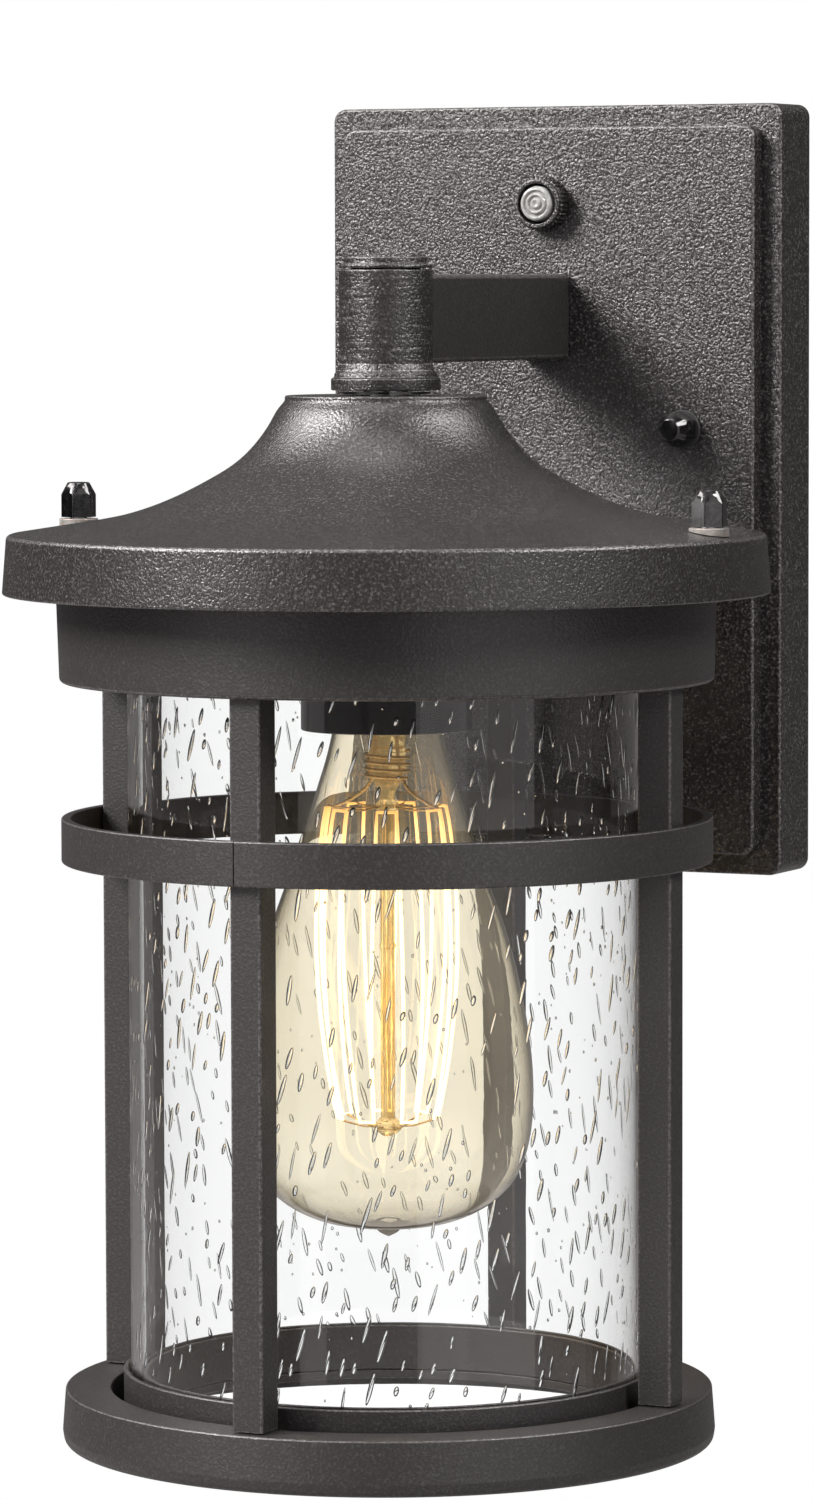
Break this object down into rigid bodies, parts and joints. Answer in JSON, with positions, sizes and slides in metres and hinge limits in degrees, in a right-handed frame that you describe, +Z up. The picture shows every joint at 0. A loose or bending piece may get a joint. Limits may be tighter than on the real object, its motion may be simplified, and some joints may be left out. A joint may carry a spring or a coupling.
{
  "type": "outdoor wall lantern",
  "caption": "Wall lantern with a bell roof, seeded-glass cylinder in a barred cage, screw-base filament bulb and a dusk-to-dawn photocell on its backplate.",
  "frame": {"origin": "middle of the mounting bar's back face, in the wall plane", "axes": "+Y into the wall, +Z up, the lantern reaches out along -Y, +X to the right for someone facing the wall"},
  "size_m": [0.17, 0.1926, 0.2981],
  "materials": {
    "powder_coat": "fine-textured charcoal black powder coat",
    "black_metal": "glossy black plated metal",
    "zinc_steel": "bright zinc plating",
    "green_screw": "green dyed ground screw",
    "ivory_nylon": "ivory nylon washer",
    "black_plastic": "moulded black",
    "clear_plastic": "clear ringed lens",
    "porcelain": "glazed white",
    "brass": "bright",
    "lamp_base": "bright lamp base",
    "black_glass": "black vitrite",
    "amber_glass": "amber tinted, lit",
    "stem_glass": "clear stem",
    "filament": "glowing filament",
    "seeded_glass": "clear seeded glass",
    "rubber": "black washers and gasket",
    "cable": "black cable sheath"
  },
  "bodies": {
    "fixture": {"backplate": "powder_coat", "wall_crossbar": "zinc_steel", "mounting_stud_left": "zinc_steel", "mounting_stud_right": "zinc_steel", "stud_lock_nut_left": "zinc_steel", "stud_lock_nut_right": "zinc_steel", "ground_screw": "green_screw", "photocell_body": "black_plastic", "photocell_lens": "clear_plastic", "arm": "powder_coat", "arm_screw_upper": "zinc_steel", "arm_screw_lower": "zinc_steel", "hub": "powder_coat", "hub_screw_upper": "zinc_steel", "hub_screw_lower": "zinc_steel", "neck_spacer": "black_metal", "nipple": "zinc_steel", "nipple_nut_upper": "zinc_steel", "nipple_nut_lower": "zinc_steel", "roof": "powder_coat", "socket_cup": "black_metal", "socket_cup_nut": "zinc_steel", "socket_body": "porcelain", "socket_screw_shell": "brass", "socket_centre_contact": "brass", "lamp_cable": "cable"},
    "bulb": {"bulb_contact": "lamp_base", "bulb_insulator": "black_glass", "bulb_screw_shell": "lamp_base", "bulb_glass": "amber_glass", "bulb_stem": "stem_glass", "bulb_filament": "filament", "bulb_lead_left": "brass", "bulb_lead_right": "brass"},
    "cage": {"cage_top_ring": "powder_coat", "cage_bar_front": "powder_coat", "cage_bar_right": "powder_coat", "cage_bar_back": "powder_coat", "cage_bar_left": "powder_coat", "mid_band": "powder_coat", "base_ring": "powder_coat", "glass_seat_ring": "powder_coat", "glass_gasket": "rubber", "roof_stud_left": "zinc_steel", "roof_stud_right": "zinc_steel", "bar_screw_front": "zinc_steel", "bar_screw_right": "zinc_steel", "bar_screw_back": "zinc_steel", "bar_screw_left": "zinc_steel"},
    "glass": {"glass_cylinder": "seeded_glass"},
    "hub_cap": {"hub_cap": "powder_coat"},
    "photocell_ring": {"photocell_knurled_ring": "black_metal"},
    "roof_nut_left": {"roof_cap_nut_left": "black_metal", "roof_washer_left": "ivory_nylon"},
    "mounting_nut_left": {"mounting_cap_nut_left": "black_metal", "mounting_washer_left": "rubber"},
    "roof_nut_right": {"roof_cap_nut_right": "black_metal", "roof_washer_right": "ivory_nylon"},
    "mounting_nut_right": {"mounting_cap_nut_right": "black_metal", "mounting_washer_right": "rubber"}
  },
  "joints": [
    {"name": "cage_drop", "type": "slide", "parent": "fixture", "child": "cage", "axis": [0, 0, -1], "range_m": [0, 0.16]},
    {"name": "glass_lift", "type": "slide", "parent": "cage", "child": "glass", "axis": [0, 0, 1], "range_m": [0, 0.005]},
    {"name": "bulb_withdraw", "type": "slide", "parent": "fixture", "child": "bulb", "axis": [0, 0, -1], "range_m": [0, 0.19]},
    {"name": "hub_cap_lift", "type": "slide", "parent": "fixture", "child": "hub_cap", "axis": [0, 0, 1], "range_m": [0, 0.012]},
    {"name": "photocell_ring_unscrew", "type": "slide", "parent": "fixture", "child": "photocell_ring", "axis": [0, -1, 0], "range_m": [0, 0.006]},
    {"name": "roof_nut_left_lift", "type": "slide", "parent": "fixture", "child": "roof_nut_left", "axis": [0, 0, 1], "range_m": [0, 0.0091]},
    {"name": "mounting_nut_left_back_off", "type": "slide", "parent": "fixture", "child": "mounting_nut_left", "axis": [0, -1, 0], "range_m": [0, 0.0091]},
    {"name": "roof_nut_right_lift", "type": "slide", "parent": "fixture", "child": "roof_nut_right", "axis": [0, 0, 1], "range_m": [0, 0.0091]},
    {"name": "mounting_nut_right_back_off", "type": "slide", "parent": "fixture", "child": "mounting_nut_right", "axis": [0, -1, 0], "range_m": [0, 0.0091]}
  ]
}
